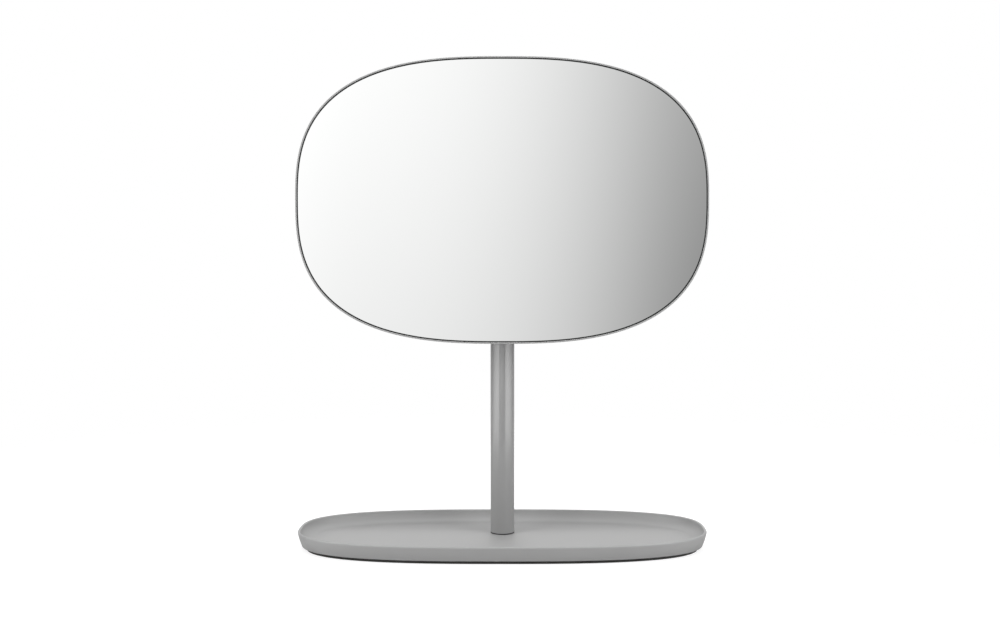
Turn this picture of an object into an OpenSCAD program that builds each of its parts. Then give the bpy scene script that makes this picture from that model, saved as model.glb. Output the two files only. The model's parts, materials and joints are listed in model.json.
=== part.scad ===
// Table mirror that tilts on a slim stem, on a tray foot.
// The origin is on the table under the middle of the tray. X runs to the right, Y to the back and Z up.

/* [Overall] */
// Height from the table to the top of the mirror
total_h = 340.5; // [300:0.5:380]
// Distance from the middle of the tray back to the middle of the stem
stem_back = 18; // [10:0.5:24]
// Distance from the middle of the stem forward to the face of the glass
mirror_reach = 28; // [26:0.5:36]

/* [Tray] */
// Width over the lip
tray_w = 285; // [260:0.5:340]
// Depth over the lip
tray_d = 116.4; // [105:0.2:160]
// Height of the lip above the table
tray_h = 12.7; // [10:0.1:18]
// Squareness of the outline, where 2 is an ellipse and more is squarer
tray_power = 2.78; // [2.2:0.01:3.2]
// Thickness of the floor
tray_floor_t = 1.6; // [1.2:0.1:2.4]
// Thickness of the lip, which is round on top
tray_lip_t = 2; // [1.4:0.1:3]
// How far the foot of the wall lies inside the lip
tray_draft = 2.6; // [2:0.1:4]
// Width of the cove between the wall and the floor
tray_cove_w = 8.8; // [6:0.2:12]
// Radius of the edge at the foot of the wall
tray_foot_r = 0.8; // [0.3:0.1:1.2]
// Gap between the foot of the wall and the table
tray_foot_gap = 2.4; // [1.4:0.1:2.6]

/* [Underside] */
// Thickness of the soft pad that the object stands on
pad_t = 1; // [0.9:0.1:2]
// How far the pad's edge lies inside the tray's lip
pad_inset = 5.8; // [5:0.1:9]
// Width of the pad's raised edge, which surrounds the ballast plate
pad_edge_w = 1.2; // [0.8:0.1:3]
// Gap between the pad's raised edge and the tray
pad_edge_gap = 0.2; // [0.1:0.05:0.4]
// Width of the hole in the pad, for the key of the stem's bolt
pad_hole_d = 20; // [17:0.5:30]
// Thickness of the ballast plate
ballast_t = 1.6; // [1.4:0.1:4]
// Gap between the ballast plate and the pad's raised edge
ballast_play = 0.2; // [0.1:0.1:1]
// Width of the hole in the ballast plate
ballast_hole_d = 22; // [18:0.5:32]
// Gap between the ballast plate and the wall of the recess over it
recess_gap = 0.6; // [0.3:0.1:1.2]
// Thickness of the tape that holds the ballast plate
ballast_tape_t = 0.4; // [0.2:0.1:1]
// Width of each strip of that tape
ballast_tape_w = 20; // [10:1:30]
// Length of each strip of that tape
ballast_tape_l = 66; // [40:1:74]
// Distance between the middles of neighbouring strips
ballast_tape_pitch = 62; // [50:1:70]

/* [Swivel at the foot] */
// Thickness of the bushing's flange, under the stem
bushing_flange_t = 0.8; // [0.5:0.1:1.5]
// Outside width of the bushing's sleeve, in the tray's floor
bushing_d = 11; // [10:0.1:13]
// Radial clearance of a shaft that turns in a hole
run_clearance = 0.05; // [0.02:0.01:0.1]
// Width of the bolt's shoulder
shoulder_d = 8; // [7:0.1:9]
// How much wider than the shoulder the holes in the thrust washer and the disc spring are
foot_washer_play = 0.4; // [0.2:0.1:0.8]
// Width of the thrust washer
thrust_washer_d = 16; // [14:0.5:16]
// Thickness of the thrust washer
thrust_washer_t = 0.5; // [0.3:0.1:0.8]
// Width of the disc spring
foot_spring_d = 14.5; // [12:0.5:15]
// Thickness of the disc spring's sheet
foot_spring_t = 0.5; // [0.3:0.1:0.7]
// Height of the disc spring's cone
foot_spring_rise = 0.3; // [0.1:0.1:0.5]
// Width of the bolt's head
stem_bolt_head_d = 15; // [13:0.5:16]
// Thickness of the bolt's head
stem_bolt_head_t = 1.4; // [1.2:0.1:1.6]
// Width across the flats of the bolt's socket
stem_bolt_key = 4; // [3:0.5:5]
// Depth of the bolt's socket
stem_bolt_key_t = 0.9; // [0.6:0.1:1]
// Width of the bolt's thread
stem_thread_d = 6; // [5:0.5:6.5]
// Length of the bolt's thread
stem_thread_l = 15; // [10:1:20]

/* [Stem] */
// Outside width of the tube
stem_d = 17; // [15:0.5:20]
// Wall of the tube
stem_wall = 1.5; // [1:0.1:2]
// Length of the threaded plug in the foot of the tube
foot_plug_l = 24; // [20:1:40]
// Length of the stem head's plug in the top of the tube
head_plug_l = 26; // [20:1:40]
// Width of the spring pin
head_pin_d = 3; // [2:0.1:4]
// Wall of the spring pin
head_pin_wall = 0.6; // [0.4:0.1:0.8]
// Distance from the top of the tube down to the spring pin
head_pin_drop = 13; // [8:0.5:16]
// How far each end of the pin lies inside the tube's surface
head_pin_sink = 0.3; // [0.1:0.1:0.6]

/* [Hinge] */
// How far the glass can turn up
tilt_up = 45; // [30:1:55]
// How far the glass can turn down
tilt_down = 6; // [2:0.5:6]
// Height of the pivot above the shoulder of the stem head
pivot_rise = 10.3; // [10.2:0.1:13]
// Thickness of the shoulder
shoulder_t = 2; // [1:0.1:4]
// Depth of the tongue from front to back
tongue_d = 14; // [12:0.5:15]
// Width of the pivot bolt
pivot_d = 5; // [4:0.1:6]
// Thickness of each friction washer
friction_washer_t = 1; // [0.5:0.1:1.5]
// Width of each friction washer
friction_washer_d = 12; // [10:0.5:14]
// Thickness of each ear
ear_t = 3.5; // [2.5:0.1:4]
// Width of the pivot bolt's head
pivot_head_d = 9.5; // [8:0.1:12]
// Thickness of the pivot bolt's head
pivot_head_t = 2.75; // [2:0.05:4]
// Width across the flats of the pivot bolt's socket
pivot_key = 3; // [2.5:0.5:4]
// Depth of the pivot bolt's socket
pivot_key_t = 1.6; // [1:0.1:1.8]
// Width of the disc spring under the nut
pivot_spring_d = 10; // [8:0.5:12]
// Thickness of that spring's sheet
pivot_spring_t = 0.5; // [0.3:0.1:0.7]
// Height of that spring's cone
pivot_spring_rise = 0.35; // [0.1:0.05:0.5]
// Width across the flats of the nut
nut_key = 8; // [7:0.5:10]
// Thickness of the nut's hexagon
nut_hex_t = 3.4; // [2.5:0.1:5]
// Thickness of the nut's round locking collar
nut_collar_t = 1.6; // [1:0.1:2.5]
// How far the bolt's end stands out of the nut
pivot_end = 1; // [0.5:0.1:3]
// Gap that is left at the stops
stop_gap = 0.15; // [0.1:0.05:0.3]

/* [Hinge bracket] */
// Width of the plate
plate_w = 46; // [42:1:60]
// Height of the plate
plate_h = 34; // [30:1:50]
// Thickness of the plate
plate_t = 3; // [2:0.1:4]
// Radius of the plate's corners
plate_r = 6; // [2:0.5:10]
// Distance between the screws from left to right
screw_span_x = 34; // [28:1:36]
// Distance between the screws from top to bottom
screw_span_z = 22; // [16:1:24]
// Width of the screws
screw_d = 4; // [3:0.1:4.5]
// Radial clearance of the screws in the plate and the shell
screw_clearance = 0.25; // [0.1:0.05:0.5]
// Width of the screws' heads
screw_head_d = 7.6; // [6:0.1:8]
// Thickness of the screws' heads
screw_head_t = 2.2; // [1.5:0.1:3]
// Width across the flats of the screws' sockets
screw_key = 2.5; // [2:0.5:3]
// Depth of the screws' sockets
screw_key_t = 1.3; // [0.8:0.1:1.4]

/* [Mirror head] */
// Width over the rim
mirror_w = 285.5; // [260:0.5:340]
// Height over the rim
mirror_h = 198; // [180:1:220]
// Squareness of the outline, where 2 is an ellipse and more is squarer
mirror_power = 2.73; // [2.2:0.01:3.2]
// Sheet thickness of the shell, which is also the width of the rim
shell_t = 1; // [0.6:0.1:1.5]
// Outside radius of the shell's back edge
shell_r = 3; // [2:0.1:3]
// How far the rim stands in front of the glass
rim_proud = 0.3; // [0:0.1:1]
// Gap between the rim and the edge of the glass
glass_gap = 0.4; // [0.2:0.1:1]
// Thickness of the glass
glass_t = 3; // [2.5:0.1:5]
// Width of the ground edge of the glass
glass_bevel = 0.5; // [0.2:0.1:1]
// Thickness of the film on the back of the glass
film_t = 0.2; // [0.1:0.05:0.4]
// How far the film stops short of the edge of the glass
film_inset = 1.5; // [0.5:0.5:5]
// Thickness of the stiffener plate, and of the foam tape that lies level with it
core_t = 2; // [2:0.1:3]
// Width of the stiffener plate
stiffener_w = 110; // [70:1:140]
// Height of the stiffener plate
stiffener_h = 70; // [50:1:80]
// Radius of the stiffener plate's corners
stiffener_r = 8; // [2:1:20]
// Outside width of the clinch nuts
clinch_nut_d = 6.4; // [5.5:0.1:8]
// Width of each strip of foam tape
foam_w = 19; // [12:1:19]
// Gap between a strip and its neighbour
foam_gap = 6; // [3:1:7]
// How far the strips stop short of the edge of the glass
foam_margin = 9; // [5:1:20]

/* [Hidden] */

$fn = 96;
// Straight pieces in the outline of the tray and the mirror, a multiple of 4
sides = 120;
// How far a cut runs past the surface that it opens
cut = 1;

paint = [0.68, 0.68, 0.68];
steel = [0.74, 0.75, 0.77];
dark_steel = [0.42, 0.43, 0.45];
black = [0.12, 0.12, 0.13];
foam = [0.2, 0.2, 0.21];

// Heights in the foot, from the table up
ballast_top_z = pad_t + ballast_t;
floor_under_z = ballast_top_z + ballast_tape_t;
floor_z = floor_under_z + tray_floor_t;
stem_foot_z = floor_z + bushing_flange_t;
lip_z = tray_h - tray_lip_t / 2;
pad_edge_top_z = tray_foot_gap - pad_edge_gap;

// Distances inside the tray's lip
pad_pocket_inset = pad_inset + pad_edge_w;
ballast_inset = pad_pocket_inset + ballast_play;
recess_inset = ballast_inset - recess_gap;

// Steps in the curves of the tray's section
wall_steps = 5;
lip_steps = 6;
cove_steps = 8;
// Share of the wall's fall that is straight, while the rest is curved
wall_straight = 0.6;

// Heights in the foot's joint, from the tray's floor down
thrust_under_z = floor_under_z - thrust_washer_t;
foot_spring_under_z = thrust_under_z - foot_spring_t - foot_spring_rise;
stem_bolt_under_z = foot_spring_under_z - stem_bolt_head_t;
// Width of the holes in the thrust washer and the foot's disc spring
foot_washer_hole_d = shoulder_d + foot_washer_play;

// Heights in the stem
stem_r = stem_d / 2;
mirror_z = total_h - mirror_h / 2;
shoulder_z = mirror_z - pivot_rise;
tube_top_z = shoulder_z - shoulder_t;
tube_hole_d = stem_d - 2 * stem_wall;
head_pin_z = tube_top_z - head_pin_drop;

// Distances in front of the middle of the stem, in the mirror head
glass_back = mirror_reach - glass_t;
core_front = glass_back - film_t;
shell_floor = core_front - core_t;
shell_back = shell_floor - shell_t;
plate_back = shell_back - plate_t;
rim_front = mirror_reach + rim_proud;
glass_inset = shell_t + glass_gap;
shell_arc_steps = 5;

// Distances from the middle of the hinge to each side
ear_in = stem_r - ear_t;
tongue_t = 2 * (ear_in - friction_washer_t);
spring_end = stem_r + pivot_spring_t + pivot_spring_rise;
nut_end = spring_end + nut_hex_t + nut_collar_t;

// Lower edge of the ears in front of the pivot, which meets the shoulder when the glass looks down
arm_low = pivot_rise * cos(tilt_down) - stem_r * sin(tilt_down) - stop_gap;
// Lower edge of the ears' heel behind the pivot, which meets the shoulder when the glass looks up
heel_low = (pivot_rise - stop_gap - stem_r * sin(tilt_up)) / cos(tilt_up);

// Points of an outline between an ellipse and a rectangle, at a distance inside its full width and depth.
function squircle(w, d, power, inset = 0) = [
    for (i = [0:sides - 1])
    let (t = 360 * i / sides)
    [
        (w / 2 - inset) * sign(cos(t)) * pow(abs(cos(t)), 2 / power),
        (d / 2 - inset) * sign(sin(t)) * pow(abs(sin(t)), 2 / power)
    ]
];

// Half the width of such an outline at a distance y from its middle.
function squircle_half(w, d, power, inset, y) =
    (w / 2 - inset) * pow(1 - pow(abs(y) / (d / 2 - inset), power), 1 / power);

// Points of an arc, each as inset and height, without its first point.
function arc(inset, z, r, from, to, steps) = [
    for (s = [1:steps])
    let (t = from + (to - from) * s / steps)
    [inset + r * cos(t), z + r * sin(t)]
];

// Section of the tray as inset and height, from the recess round the foot and the lip to the floor.
tray_section = concat(
    [
        [recess_inset, floor_under_z],
        [recess_inset, tray_foot_gap],
        [tray_draft + tray_foot_r, tray_foot_gap]
    ],
    [
        for (s = [0:wall_steps])
        let (u = 1 - s / wall_steps)
        [
            tray_draft * (wall_straight * u + (1 - wall_straight) * u * u),
            lip_z + (tray_foot_gap + tray_foot_r - lip_z) * u
        ]
    ],
    arc(tray_lip_t / 2, lip_z, tray_lip_t / 2, 180, 0, lip_steps),
    [
        for (s = [1:cove_steps])
        let (t = 90 * s / cove_steps)
        [tray_lip_t + tray_cove_w * (1 - cos(t)), lip_z - (lip_z - floor_z) * sin(t)]
    ]
);

// Section of the shell as inset and depth, from its back round the rim to its inner floor.
shell_section = concat(
    [[shell_r, 0]],
    arc(shell_r, shell_r, shell_r, 270, 180, shell_arc_steps),
    [
        [0, rim_front - shell_back],
        [shell_t, rim_front - shell_back],
        [shell_t, shell_r]
    ],
    arc(shell_r, shell_r, shell_r - shell_t, 180, 270, shell_arc_steps)
);

// Section of the glass as inset and depth, with its ground front edge.
glass_section = [
    [glass_inset, 0],
    [glass_inset, glass_t - glass_bevel],
    [glass_inset + glass_bevel, glass_t]
];

// Solid between two flat ends, whose outline follows a section of insets and heights.
module squircle_loft(w, d, power, section) {
    rings = len(section);
    polyhedron(
        points = [
            for (ring = section, point = squircle(w, d, power, ring[0]))
            [point[0], point[1], ring[1]]
        ],
        faces = concat(
            [[for (i = [0:sides - 1]) i]],
            [
                for (k = [0:rings - 2], i = [0:sides - 1], half = [0:1])
                let (
                    low = k * sides + i,
                    low_next = k * sides + (i + 1) % sides,
                    high = low + sides,
                    high_next = low_next + sides
                )
                half == 0 ? [low, high, high_next] : [low, high_next, low_next]
            ],
            [[for (i = [sides - 1:-1:0]) (rings - 1) * sides + i]]
        )
    );
}

// Puts children at the stem's middle, at a height.
module at_stem(z) {
    translate([0, stem_back, z])
    children();
}

// Stands children up at a distance in front of the stem, at the mirror's height, with their top to the front.
module facing(reach) {
    translate([0, stem_back - reach, mirror_z])
    rotate([90, 0, 0])
    children();
}

// Lays children along the pivot, from a distance to the right of its middle, with their top to the right.
module along_pivot(x) {
    translate([x, stem_back, mirror_z])
    rotate([0, 90, 0])
    children();
}

// Ring with a hole through it.
module ring(d, hole_d, t) {
    difference() {
        cylinder(d = d, h = t);
        translate([0, 0, -cut])
        cylinder(d = hole_d, h = t + 2 * cut);
    }
}

// Disc spring that stands on its outer edge.
module disc_spring(d, hole_d, t, rise) {
    rotate_extrude()
    polygon([[hole_d / 2, rise], [d / 2, 0], [d / 2, t], [hole_d / 2, rise + t]]);
}

// Hexagon socket that opens upwards at height zero.
module key_socket(key, depth) {
    translate([0, 0, -depth])
    cylinder(d = key / cos(30), h = depth + cut, $fn = 6);
}

// Screw with a low head on top of height zero and its shank below.
module low_head_screw(head_d, head_t, key, key_t, d, l) {
    difference() {
        union() {
            cylinder(d = head_d, h = head_t);
            translate([0, 0, -l])
            cylinder(d = d, h = l + head_t / 2);
        }
        translate([0, 0, head_t])
        key_socket(key, key_t);
    }
}

// Plate with round corners, standing on height zero.
module round_plate(w, d, r, t) {
    linear_extrude(t)
    union() {
        square([w - 2 * r, d], center = true);
        square([w, d - 2 * r], center = true);
        for (x = [-1, 1], y = [-1, 1])
        translate([x * (w / 2 - r), y * (d / 2 - r)])
        circle(r = r);
    }
}

// Puts children at each of the four bracket screws.
module at_screws() {
    for (x = [-1, 1], z = [-1, 1])
    translate([x * screw_span_x / 2, z * screw_span_z / 2, 0])
    children();
}

// One flat strip of tape, standing on height zero.
module strip(w, d, t) {
    translate([-w / 2, -d / 2, 0])
    cube([w, d, t]);
}

module tray() {
    color(paint)
    difference() {
        squircle_loft(tray_w, tray_d, tray_power, tray_section);
        at_stem(floor_under_z - cut)
        cylinder(d = bushing_d, h = tray_floor_t + 2 * cut);
    }
}

module base_pad() {
    color(black)
    difference() {
        linear_extrude(pad_edge_top_z)
        polygon(squircle(tray_w, tray_d, tray_power, pad_inset));
        translate([0, 0, pad_t])
        linear_extrude(pad_edge_top_z)
        polygon(squircle(tray_w, tray_d, tray_power, pad_pocket_inset));
        at_stem(-cut)
        cylinder(d = pad_hole_d, h = pad_t + 2 * cut);
    }
}

module ballast_plate() {
    color(dark_steel)
    translate([0, 0, pad_t])
    difference() {
        linear_extrude(ballast_t)
        polygon(squircle(tray_w, tray_d, tray_power, ballast_inset));
        at_stem(-cut)
        cylinder(d = ballast_hole_d, h = ballast_t + 2 * cut);
    }
}

module ballast_tape() {
    color(foam)
    for (place = [-1.5, -0.5, 0.5, 1.5])
    translate([place * ballast_tape_pitch, 0, ballast_top_z])
    strip(ballast_tape_w, ballast_tape_l, ballast_tape_t);
}

module foot_bushing() {
    color(black)
    difference() {
        union() {
            at_stem(floor_under_z)
            cylinder(d = bushing_d, h = tray_floor_t + bushing_flange_t);
            at_stem(floor_z)
            cylinder(d = stem_d, h = bushing_flange_t);
        }
        at_stem(floor_under_z - cut)
        cylinder(d = shoulder_d + 2 * run_clearance, h = tray_floor_t + bushing_flange_t + 2 * cut);
    }
}

module thrust_washer() {
    color(steel)
    at_stem(thrust_under_z)
    ring(thrust_washer_d, foot_washer_hole_d, thrust_washer_t);
}

module foot_spring() {
    color(dark_steel)
    at_stem(foot_spring_under_z)
    disc_spring(foot_spring_d, foot_washer_hole_d, foot_spring_t, foot_spring_rise);
}

module stem_tube() {
    color(paint)
    difference() {
        at_stem(stem_foot_z)
        ring(stem_d, tube_hole_d, tube_top_z - stem_foot_z);
        pin_hole();
    }
}

// Hole for the spring pin, from front to back.
module pin_hole() {
    at_stem(head_pin_z)
    rotate([90, 0, 0])
    cylinder(d = head_pin_d, h = stem_d + 2 * cut, center = true);
}

module foot_plug() {
    color(steel)
    at_stem(stem_foot_z)
    ring(tube_hole_d, stem_thread_d, foot_plug_l);
}

module stem_bolt() {
    color(dark_steel)
    union() {
        at_stem(foot_spring_under_z)
        mirror([0, 0, 1])
        low_head_screw(
            stem_bolt_head_d, stem_bolt_head_t, stem_bolt_key, stem_bolt_key_t,
            stem_thread_d, stem_foot_z - foot_spring_under_z + stem_thread_l
        );
        at_stem(foot_spring_under_z)
        cylinder(d = shoulder_d, h = stem_foot_z - foot_spring_under_z);
    }
}

module stem_head() {
    color(steel)
    difference() {
        union() {
            at_stem(tube_top_z - head_plug_l)
            cylinder(d = tube_hole_d, h = head_plug_l + shoulder_t);
            at_stem(tube_top_z)
            cylinder(d = stem_d, h = shoulder_t);
            translate([-tongue_t / 2, stem_back - tongue_d / 2, shoulder_z - shoulder_t])
            cube([tongue_t, tongue_d, pivot_rise + shoulder_t]);
            along_pivot(-tongue_t / 2)
            cylinder(d = tongue_d, h = tongue_t);
        }
        along_pivot(-tongue_t / 2 - cut)
        cylinder(d = pivot_d + 2 * run_clearance, h = tongue_t + 2 * cut);
        pin_hole();
    }
}

module head_pin() {
    length = stem_d - 2 * head_pin_sink;
    color(dark_steel)
    at_stem(head_pin_z)
    rotate([90, 0, 0])
    translate([0, 0, -length / 2])
    difference() {
        ring(head_pin_d, head_pin_d - 2 * head_pin_wall, length);
        translate([0, -head_pin_wall / 2, -cut])
        cube([head_pin_d, head_pin_wall, length + 2 * cut]);
    }
}

module mirror_glass() {
    color([0.85, 0.88, 0.9])
    facing(glass_back)
    squircle_loft(mirror_w, mirror_h, mirror_power, glass_section);
}

module safety_film() {
    color(foam)
    facing(core_front)
    linear_extrude(film_t)
    polygon(squircle(mirror_w, mirror_h, mirror_power, glass_inset + film_inset));
}

module mounting_tape() {
    inset = glass_inset + foam_margin;
    color(foam)
    facing(shell_floor) {
        for (row = [0, 1], side = [-1, 1]) {
            z = stiffener_h / 2 + foam_gap / 2 + foam_w / 2 + row * (foam_w + foam_gap);
            half = squircle_half(mirror_w, mirror_h, mirror_power, inset, z + foam_w / 2);
            translate([0, side * z, 0])
            strip(2 * half, foam_w, core_t);
        }
        for (row = [-1, 1], side = [-1, 1]) {
            z = (foam_w + foam_gap) / 2;
            from = stiffener_w / 2 + foam_gap;
            to = squircle_half(mirror_w, mirror_h, mirror_power, inset, z + foam_w / 2);
            translate([side * (from + to) / 2, row * z, 0])
            strip(to - from, foam_w, core_t);
        }
    }
}

module back_shell() {
    color(paint)
    facing(shell_back)
    difference() {
        squircle_loft(mirror_w, mirror_h, mirror_power, shell_section);
        at_screws()
        translate([0, 0, -cut])
        cylinder(d = screw_d + 2 * screw_clearance, h = shell_t + 2 * cut);
    }
}

module stiffener_plate() {
    color(steel)
    facing(shell_floor)
    difference() {
        round_plate(stiffener_w, stiffener_h, stiffener_r, core_t);
        at_screws()
        translate([0, 0, -cut])
        cylinder(d = clinch_nut_d, h = core_t + 2 * cut);
    }
}

module clinch_nuts() {
    color(dark_steel)
    facing(shell_floor)
    at_screws()
    ring(clinch_nut_d, screw_d, core_t);
}

// Side view of an ear round the pivot, with X as the distance behind it and Y as the height over it.
module ear_outline() {
    translate([-shell_back, -arm_low])
    square([shell_back, arm_low + stem_r]);
    circle(r = stem_r);
    translate([0, -heel_low])
    square([stem_r, heel_low]);
}

module hinge_bracket() {
    color(paint)
    difference() {
        union() {
            facing(plate_back)
            round_plate(plate_w, plate_h, plate_r, plate_t);
            for (x = [-stem_r, ear_in])
            translate([x, stem_back, mirror_z])
            rotate([90, 0, 90])
            linear_extrude(ear_t)
            ear_outline();
        }
        facing(plate_back - cut)
        at_screws()
        cylinder(d = screw_d + 2 * screw_clearance, h = plate_t + 2 * cut);
        along_pivot(-stem_r - cut)
        cylinder(d = pivot_d, h = stem_d + 2 * cut);
    }
}

module bracket_screws() {
    color(steel)
    facing(plate_back)
    at_screws()
    mirror([0, 0, 1])
    low_head_screw(screw_head_d, screw_head_t, screw_key, screw_key_t, screw_d, plate_t + shell_t + core_t);
}

module pivot_bolt() {
    color(steel)
    along_pivot(-stem_r)
    mirror([0, 0, 1])
    low_head_screw(
        pivot_head_d, pivot_head_t, pivot_key, pivot_key_t,
        pivot_d, stem_r + nut_end + pivot_end
    );
}

module friction_washers() {
    color(black)
    for (x = [-ear_in, tongue_t / 2])
    along_pivot(x)
    ring(friction_washer_d, pivot_d, friction_washer_t);
}

module pivot_spring() {
    color(dark_steel)
    along_pivot(stem_r)
    disc_spring(pivot_spring_d, pivot_d, pivot_spring_t, pivot_spring_rise);
}

module pivot_nut() {
    color(steel)
    along_pivot(spring_end)
    difference() {
        union() {
            cylinder(d = nut_key / cos(30), h = nut_hex_t, $fn = 6);
            cylinder(d = nut_key, h = nut_hex_t + nut_collar_t);
        }
        translate([0, 0, -cut])
        cylinder(d = pivot_d, h = nut_hex_t + nut_collar_t + 2 * cut);
    }
}

tray();
base_pad();
ballast_plate();
ballast_tape();
foot_bushing();
thrust_washer();
foot_spring();
stem_tube();
foot_plug();
stem_bolt();
stem_head();
head_pin();
mirror_glass();
safety_film();
mounting_tape();
back_shell();
stiffener_plate();
clinch_nuts();
hinge_bracket();
bracket_screws();
pivot_bolt();
friction_washers();
pivot_spring();
pivot_nut();
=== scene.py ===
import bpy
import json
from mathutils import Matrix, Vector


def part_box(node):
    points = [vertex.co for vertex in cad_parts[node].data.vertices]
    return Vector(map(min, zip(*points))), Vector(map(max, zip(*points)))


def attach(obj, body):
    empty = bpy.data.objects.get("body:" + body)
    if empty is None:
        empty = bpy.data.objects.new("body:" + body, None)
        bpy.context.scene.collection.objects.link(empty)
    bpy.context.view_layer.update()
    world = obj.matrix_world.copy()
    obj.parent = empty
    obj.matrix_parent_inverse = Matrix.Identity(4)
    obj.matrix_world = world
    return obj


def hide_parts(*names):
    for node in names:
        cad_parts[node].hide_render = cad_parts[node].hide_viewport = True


bl_info = {
    "name": "Table mirror on a tray foot",
    "version": (1, 0, 0),
    "blender": (4, 5, 0),
    "location": "3D View > Sidebar > Mirror",
    "description": "Dresses a tilting table mirror: painted tray, stem and shell, glass, hinge and stage",
    "category": "Add Mesh",
}

import json
import math

import bmesh
import bpy
import numpy as np
from bpy.props import FloatProperty, FloatVectorProperty, PointerProperty
from mathutils import Vector

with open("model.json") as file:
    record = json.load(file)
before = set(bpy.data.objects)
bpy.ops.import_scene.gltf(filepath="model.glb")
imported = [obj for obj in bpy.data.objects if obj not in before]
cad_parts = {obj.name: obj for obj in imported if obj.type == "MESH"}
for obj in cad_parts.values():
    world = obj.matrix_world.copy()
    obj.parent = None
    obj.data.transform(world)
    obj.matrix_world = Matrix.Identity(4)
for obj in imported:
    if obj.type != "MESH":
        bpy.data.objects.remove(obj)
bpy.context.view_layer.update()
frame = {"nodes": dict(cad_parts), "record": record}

MM = 0.001
# Points closer than this are one point
WELD = 0.001 * MM

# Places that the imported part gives
TRAY_LOW, TRAY_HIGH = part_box("tray")
BUSHING_LOW, BUSHING_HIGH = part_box("foot_bushing")
SHELL_LOW, SHELL_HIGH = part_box("back_shell")
GLASS_LOW, GLASS_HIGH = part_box("mirror_glass")
SCREWS_LOW, SCREWS_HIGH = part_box("bracket_screws")
BOLT_LOW, BOLT_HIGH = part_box("pivot_bolt")
NUT_LOW, NUT_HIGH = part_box("pivot_nut")
STEM_MIDDLE = (BUSHING_LOW + BUSHING_HIGH) / 2
HEAD_MIDDLE = (SHELL_LOW + SHELL_HIGH) / 2
PIVOT_MIDDLE = (NUT_LOW + NUT_HIGH) / 2
SLOTS = {row["slot"] for row in frame["record"]["materials"]}

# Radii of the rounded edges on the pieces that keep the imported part's shape
MOULDED_EDGE = 0.15 * MM
TURNED_EDGE = 0.2 * MM
CUT_EDGE = 0.25 * MM
MACHINED_EDGE = 0.3 * MM
BENT_EDGE = 0.45 * MM

# Widths of the marks in the finishes, and the depths of their dents and bumps
PAINT_GRAIN, PAINT_PEEL, PAINT_CLOUD, PAINT_RELIEF = 0.4 * MM, 2.6 * MM, 38 * MM, 0.012 * MM
STEEL_TRACK, STEEL_GRAIN, STEEL_PATCH, STEEL_RELIEF = 0.09 * MM, 0.2 * MM, 1.5 * MM, 0.004 * MM
GLASS_WIPE, GLASS_SCRATCH, GLASS_RELIEF = 24 * MM, 0.15 * MM, 0.001 * MM


def length(name, description, default):
    """A size in metres that the panel shows in the scene's unit."""
    return FloatProperty(
        name=name, description=description, default=default, min=0, precision=5, unit="LENGTH"
    )


def share(name, description, default, top=1.0):
    """A plain number from zero up."""
    return FloatProperty(name=name, description=description, default=default, min=0, max=top)


def tint(name, description, default):
    """A colour in linear values."""
    return FloatVectorProperty(
        name=name, description=description, default=default, size=3, min=0, max=1, subtype="COLOR"
    )


class TableMirrorTray(bpy.types.PropertyGroup):
    """Sizes of the tray. Its width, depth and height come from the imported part."""

    squareness: share("Squareness", "2 gives an ellipse and more is squarer", 2.78, 4)
    lip: length("Lip", "Thickness of the lip, which is round on top", 2 * MM)
    draft: length("Draft", "How far the foot of the wall lies inside the lip", 2.6 * MM)
    straight: share("Straight share", "Share of the wall's fall that is straight", 0.6)
    cove: length("Cove", "Width of the cove between wall and floor", 8.8 * MM)
    foot_radius: length("Foot radius", "Radius of the edge at the foot of the wall", 0.8 * MM)
    ring: length("Ring", "Width of the ring that surrounds the underside", 4 * MM)
    ring_radius: length("Ring radius", "Radius of the ring's inner edge", 0.3 * MM)
    floor: length("Floor", "Thickness of the floor", 1.6 * MM)
    bore: length("Bore", "Radius of the hole for the bushing", 5.5 * MM)


class TableMirrorHead(bpy.types.PropertyGroup):
    """Sizes of the shell and the glass. Their width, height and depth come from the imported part."""

    squareness: share("Squareness", "2 gives an ellipse and more is squarer", 2.73, 4)
    sheet: length("Sheet", "Thickness of the shell's sheet", 1 * MM)
    back_radius: length("Back radius", "Outside radius of the shell's back edge", 3 * MM)
    rim_radius: length("Rim radius", "Radius of both edges of the rim", 0.25 * MM)
    bevel: length("Bevel", "Width of the ground edge of the glass", 0.5 * MM)
    screw_span_x: length("Screw span across", "Distance between the screws from left to right", 34 * MM)
    screw_span_z: length("Screw span up", "Distance between the screws from top to bottom", 22 * MM)
    screw_hole: length("Screw hole", "Radius of the screws' holes", 2.25 * MM)


class TableMirrorFasteners(bpy.types.PropertyGroup):
    """Sizes of the screws, the pivot bolt and the nut."""

    screw_head: length("Screw head", "Radius of the bracket screws' heads", 3.8 * MM)
    screw_head_t: length("Screw head height", "Height of the bracket screws' heads", 2.2 * MM)
    screw_key: length("Screw key", "Width across the flats of the screws' sockets", 2.5 * MM)
    screw_key_t: length("Screw key depth", "Depth of the screws' sockets", 1.3 * MM)
    screw_shank: length("Screw shank", "Radius of the screws' shanks", 2 * MM)
    bolt_head: length("Bolt head", "Radius of the pivot bolt's head", 4.75 * MM)
    bolt_head_t: length("Bolt head height", "Height of the pivot bolt's head", 2.75 * MM)
    bolt_key: length("Bolt key", "Width across the flats of the pivot bolt's socket", 3 * MM)
    bolt_key_t: length("Bolt key depth", "Depth of the pivot bolt's socket", 1.6 * MM)
    bolt_shank: length("Bolt shank", "Radius of the pivot bolt's shank", 2.5 * MM)
    nut_key: length("Nut key", "Width across the flats of the nut", 8 * MM)
    nut_hex_t: length("Nut hexagon", "Height of the nut's hexagon", 3.4 * MM)
    edge: length("Edge", "Radius of the softened edges", 0.3 * MM)


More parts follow.
